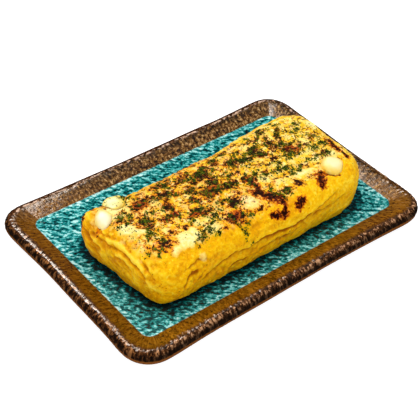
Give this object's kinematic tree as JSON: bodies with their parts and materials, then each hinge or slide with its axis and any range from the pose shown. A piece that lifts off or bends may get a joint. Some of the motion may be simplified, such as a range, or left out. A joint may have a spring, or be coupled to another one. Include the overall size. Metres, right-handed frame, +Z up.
{
  "type": "rolled omelette on a plate",
  "caption": "Rolled omelette, browned on top and dressed with mayonnaise and green seaweed flakes, served on a shallow rectangular glazed stoneware plate.",
  "frame": {"origin": "on the table under the middle of the plate", "axes": "+X along the plate's length towards the omelette's rounder end, -Y towards the side that the omelette's seam faces, +Z up"},
  "size_m": [0.2209, 0.1477, 0.0431],
  "materials": {
    "stoneware_glaze": "glossy glaze: mottled teal floor, amber brown sides, dark brown rim",
    "egg": "moist cooked egg, browned and charred in spots on top",
    "mayonnaise": "soft satin mayonnaise"
  },
  "bodies": {
    "root": {"plate": "stoneware_glaze", "omelette": "egg", "mayonnaise_left": "mayonnaise", "mayonnaise_back": "mayonnaise", "mayonnaise_right": "mayonnaise"}
  },
  "joints": []
}
